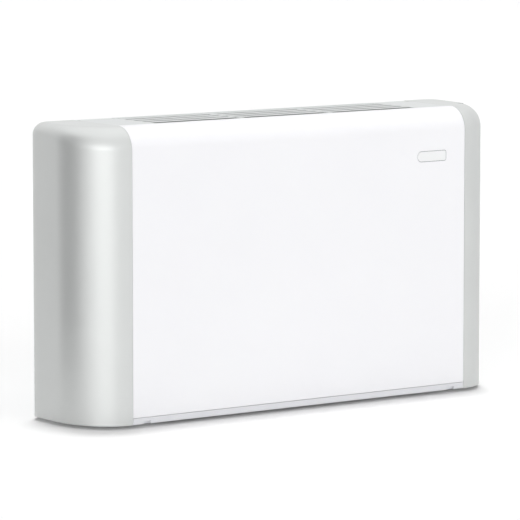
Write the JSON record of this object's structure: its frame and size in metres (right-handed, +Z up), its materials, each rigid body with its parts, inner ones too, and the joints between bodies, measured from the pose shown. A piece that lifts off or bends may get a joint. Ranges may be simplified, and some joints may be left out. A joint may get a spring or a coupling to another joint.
{
  "type": "fan coil unit",
  "caption": "Floor and wall fan coil unit with a white front, silver side caps, louvred top, access doors, pull-out filter, twin fan and water coil.",
  "frame": {"origin": "bottom centre of the cabinet, on the floor plane", "axes": "+X along the width to the viewer's right when facing the front, +Y towards the wall, +Z up"},
  "size_m": [0.984, 0.226, 0.564],
  "materials": {
    "white_painted_steel": "semi-gloss powder coat",
    "silver_moulded_plastic": "satin silver",
    "white_trim_plastic": "satin",
    "grille_grey_plastic": "satin",
    "door_grey_plastic": "satin",
    "frame_grey_plastic": "moulded",
    "galvanised_steel": "galvanised",
    "zinc_screw_steel": "zinc plated",
    "grey_foam": "closed-cell foam",
    "filter_net_fibre": "woven net",
    "dark_wheel_plastic": "moulded",
    "motor_grey_paint": "painted",
    "black_rubber": "matt",
    "black_steel": "black oxide",
    "fin_aluminium": "rolled foil",
    "coil_copper": "drawn copper",
    "union_brass": "turned",
    "dark_grey_plastic": "moulded",
    "ivory_plastic": "moulded",
    "can_aluminium": "drawn can",
    "black_plastic": "moulded",
    "white_knob_plastic": "moulded"
  },
  "bodies": {
    "cabinet": {"front_panel": "white_painted_steel", "left_side_cap": "silver_moulded_plastic", "right_side_cap": "silver_moulded_plastic", "rear_top_rail": "white_trim_plastic", "badge_plate": "white_trim_plastic", "left_grille": "grille_grey_plastic", "centre_grille": "grille_grey_plastic", "right_grille": "grille_grey_plastic", "left_door_frame": "frame_grey_plastic", "right_door_frame": "frame_grey_plastic", "left_filter_guide": "frame_grey_plastic", "right_filter_guide": "frame_grey_plastic", "terminal_box": "frame_grey_plastic", "drain_pan": "frame_grey_plastic", "side_drip_tray": "frame_grey_plastic", "back_panel": "galvanised_steel", "left_end_plate": "galvanised_steel", "right_end_plate": "galvanised_steel", "top_front_rail": "galvanised_steel", "base_rail": "galvanised_steel", "fan_deck": "galvanised_steel", "motor_cradle": "galvanised_steel", "left_tube_sheet": "galvanised_steel", "right_tube_sheet": "galvanised_steel", "capacitor_clip": "galvanised_steel", "left_scroll": "galvanised_steel", "right_scroll": "galvanised_steel", "frame_screws": "zinc_screw_steel", "cabinet_screws": "zinc_screw_steel", "front_liner": "grey_foam", "motor_body": "motor_grey_paint", "motor_rubbers": "black_rubber", "coil_fins": "fin_aluminium", "coil_tubes": "coil_copper", "return_bends": "coil_copper", "supply_header": "coil_copper", "return_header": "coil_copper", "inlet_union": "union_brass", "outlet_union": "union_brass", "vent_body": "union_brass", "drain_plug": "union_brass", "terminal_lid": "dark_grey_plastic", "control_panel": "dark_grey_plastic", "terminal_block": "ivory_plastic", "capacitor": "can_aluminium", "sensor_port": "black_plastic", "cable_gland": "black_plastic"},
    "fan_rotor": {"motor_shaft": "zinc_screw_steel", "left_fan_wheel": "dark_wheel_plastic", "right_fan_wheel": "dark_wheel_plastic", "wheel_set_screws": "black_steel"},
    "left_lid": {"left_door": "door_grey_plastic"},
    "right_lid": {"right_door": "door_grey_plastic"},
    "filter": {"filter_frame": "white_trim_plastic", "filter_net": "filter_net_fibre"},
    "thermostat": {"thermostat_knob": "white_knob_plastic"},
    "speed_selector": {"speed_knob": "white_knob_plastic"},
    "season_rocker": {"season_switch": "black_plastic"},
    "bleed_screw": {"vent_screw": "zinc_screw_steel"}
  },
  "joints": [
    {"name": "fan_spin", "type": "hinge", "parent": "cabinet", "child": "fan_rotor", "pos_m": [0, 0.004, 0.13], "axis": [1, 0, 0], "continuous": true},
    {"name": "left_door_hinge", "type": "hinge", "parent": "cabinet", "child": "left_lid", "pos_m": [-0.356, 0.076, 0.559], "axis": [-1, 0, 0], "range_deg": [0, 92]},
    {"name": "right_door_hinge", "type": "hinge", "parent": "cabinet", "child": "right_lid", "pos_m": [0.356, 0.076, 0.559], "axis": [-1, 0, 0], "range_deg": [0, 92]},
    {"name": "filter_slide", "type": "slide", "parent": "cabinet", "child": "filter", "axis": [0, -1, 0], "range_m": [0, 0.19]},
    {"name": "thermostat_turn", "type": "hinge", "parent": "cabinet", "child": "thermostat", "pos_m": [0.356, -0.0343, 0.5434], "axis": [0, 0, 1], "range_deg": [-135, 135]},
    {"name": "speed_turn", "type": "hinge", "parent": "cabinet", "child": "speed_selector", "pos_m": [0.356, 0.0037, 0.5434], "axis": [0, 0, 1], "range_deg": [-60, 60]},
    {"name": "season_rock", "type": "hinge", "parent": "cabinet", "child": "season_rocker", "pos_m": [0.356, 0.0357, 0.542], "axis": [1, 0, 0], "range_deg": [-8, 8]},
    {"name": "vent_screw_turn", "type": "hinge", "parent": "cabinet", "child": "bleed_screw", "pos_m": [-0.3472, 0.05851, 0.47069], "axis": [0, 0.342, 0.9397], "range_deg": [0, 270]}
  ]
}
